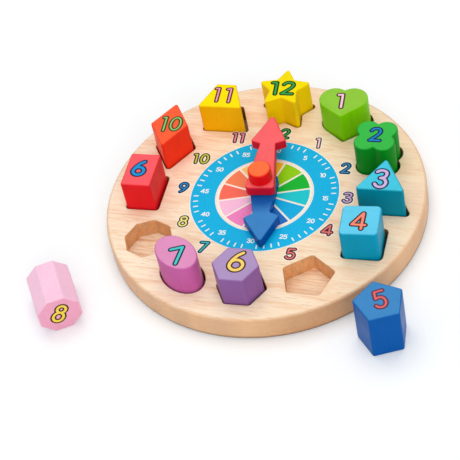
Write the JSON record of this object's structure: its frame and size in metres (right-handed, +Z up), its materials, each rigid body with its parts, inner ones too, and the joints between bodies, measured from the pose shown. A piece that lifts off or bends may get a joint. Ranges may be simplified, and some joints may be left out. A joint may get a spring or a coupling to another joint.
{
  "type": "wooden clock shape sorter",
  "caption": "Round wooden clock board with shaped recesses, painted number blocks that lift out, and two hands that turn on a centre peg.",
  "frame": {"origin": "centre of the round board's flat underside", "axes": "+Z up out of the clock face, +Y from the centre towards 12 o'clock, +X towards 3 o'clock"},
  "size_m": [0.2562, 0.2303, 0.0448],
  "materials": {
    "natural_wood": "satin clear coat",
    "paint_peg": "gloss paint on wood",
    "paint_hour_hand": "gloss paint on wood",
    "paint_minute_hand": "gloss paint on wood",
    "paint_heart": "gloss paint on wood",
    "paint_quatrefoil": "gloss paint on wood",
    "paint_triangle": "gloss paint on wood",
    "paint_square": "gloss paint on wood",
    "paint_pentagon": "gloss paint on wood",
    "paint_hexagon": "gloss paint on wood",
    "paint_ellipse": "gloss paint on wood",
    "paint_octagon": "gloss paint on wood",
    "paint_rectangle": "gloss paint on wood",
    "paint_rhombus": "gloss paint on wood",
    "paint_trapezoid": "gloss paint on wood",
    "paint_star": "gloss paint on wood"
  },
  "bodies": {
    "board": {"board": "natural_wood", "centre_peg": "paint_peg"},
    "hour_hand": {"hour_hand": "paint_hour_hand"},
    "minute_hand": {"minute_hand": "paint_minute_hand"},
    "block_1_heart": {"block_1_heart": "paint_heart"},
    "block_2_quatrefoil": {"block_2_quatrefoil": "paint_quatrefoil"},
    "block_3_triangle": {"block_3_triangle": "paint_triangle"},
    "block_4_square": {"block_4_square": "paint_square"},
    "block_5_pentagon": {"block_5_pentagon": "paint_pentagon"},
    "block_6_hexagon": {"block_6_hexagon": "paint_hexagon"},
    "block_7_ellipse": {"block_7_ellipse": "paint_ellipse"},
    "block_8_octagon": {"block_8_octagon": "paint_octagon"},
    "block_9_rectangle": {"block_9_rectangle": "paint_rectangle"},
    "block_10_rhombus": {"block_10_rhombus": "paint_rhombus"},
    "block_11_trapezoid": {"block_11_trapezoid": "paint_trapezoid"},
    "block_12_star": {"block_12_star": "paint_star"}
  },
  "joints": [
    {"name": "hour_hand_turn", "type": "hinge", "parent": "board", "child": "hour_hand", "pos_m": [0, 0, 0.02325], "axis": [0, 0, 1], "continuous": true},
    {"name": "minute_hand_turn", "type": "hinge", "parent": "board", "child": "minute_hand", "pos_m": [0, 0, 0.03125], "axis": [0, 0, 1], "continuous": true},
    {"name": "lift_block_1_heart", "type": "slide", "parent": "board", "child": "block_1_heart", "axis": [0, 0, 1], "range_m": [0, 0.06]},
    {"name": "lift_block_2_quatrefoil", "type": "slide", "parent": "board", "child": "block_2_quatrefoil", "axis": [0, 0, 1], "range_m": [0, 0.06]},
    {"name": "lift_block_3_triangle", "type": "slide", "parent": "board", "child": "block_3_triangle", "axis": [0, 0, 1], "range_m": [0, 0.06]},
    {"name": "lift_block_4_square", "type": "slide", "parent": "board", "child": "block_4_square", "axis": [0, 0, 1], "range_m": [0, 0.06]},
    {"name": "lift_block_5_pentagon", "type": "slide", "parent": "board", "child": "block_5_pentagon", "axis": [0, 0, 1], "range_m": [0, 0.06]},
    {"name": "lift_block_6_hexagon", "type": "slide", "parent": "board", "child": "block_6_hexagon", "axis": [0, 0, 1], "range_m": [0, 0.06]},
    {"name": "lift_block_7_ellipse", "type": "slide", "parent": "board", "child": "block_7_ellipse", "axis": [0, 0, 1], "range_m": [0, 0.06]},
    {"name": "lift_block_8_octagon", "type": "slide", "parent": "board", "child": "block_8_octagon", "axis": [0, 0, 1], "range_m": [0, 0.06]},
    {"name": "lift_block_9_rectangle", "type": "slide", "parent": "board", "child": "block_9_rectangle", "axis": [0, 0, 1], "range_m": [0, 0.06]},
    {"name": "lift_block_10_rhombus", "type": "slide", "parent": "board", "child": "block_10_rhombus", "axis": [0, 0, 1], "range_m": [0, 0.06]},
    {"name": "lift_block_11_trapezoid", "type": "slide", "parent": "board", "child": "block_11_trapezoid", "axis": [0, 0, 1], "range_m": [0, 0.06]},
    {"name": "lift_block_12_star", "type": "slide", "parent": "board", "child": "block_12_star", "axis": [0, 0, 1], "range_m": [0, 0.06]}
  ]
}
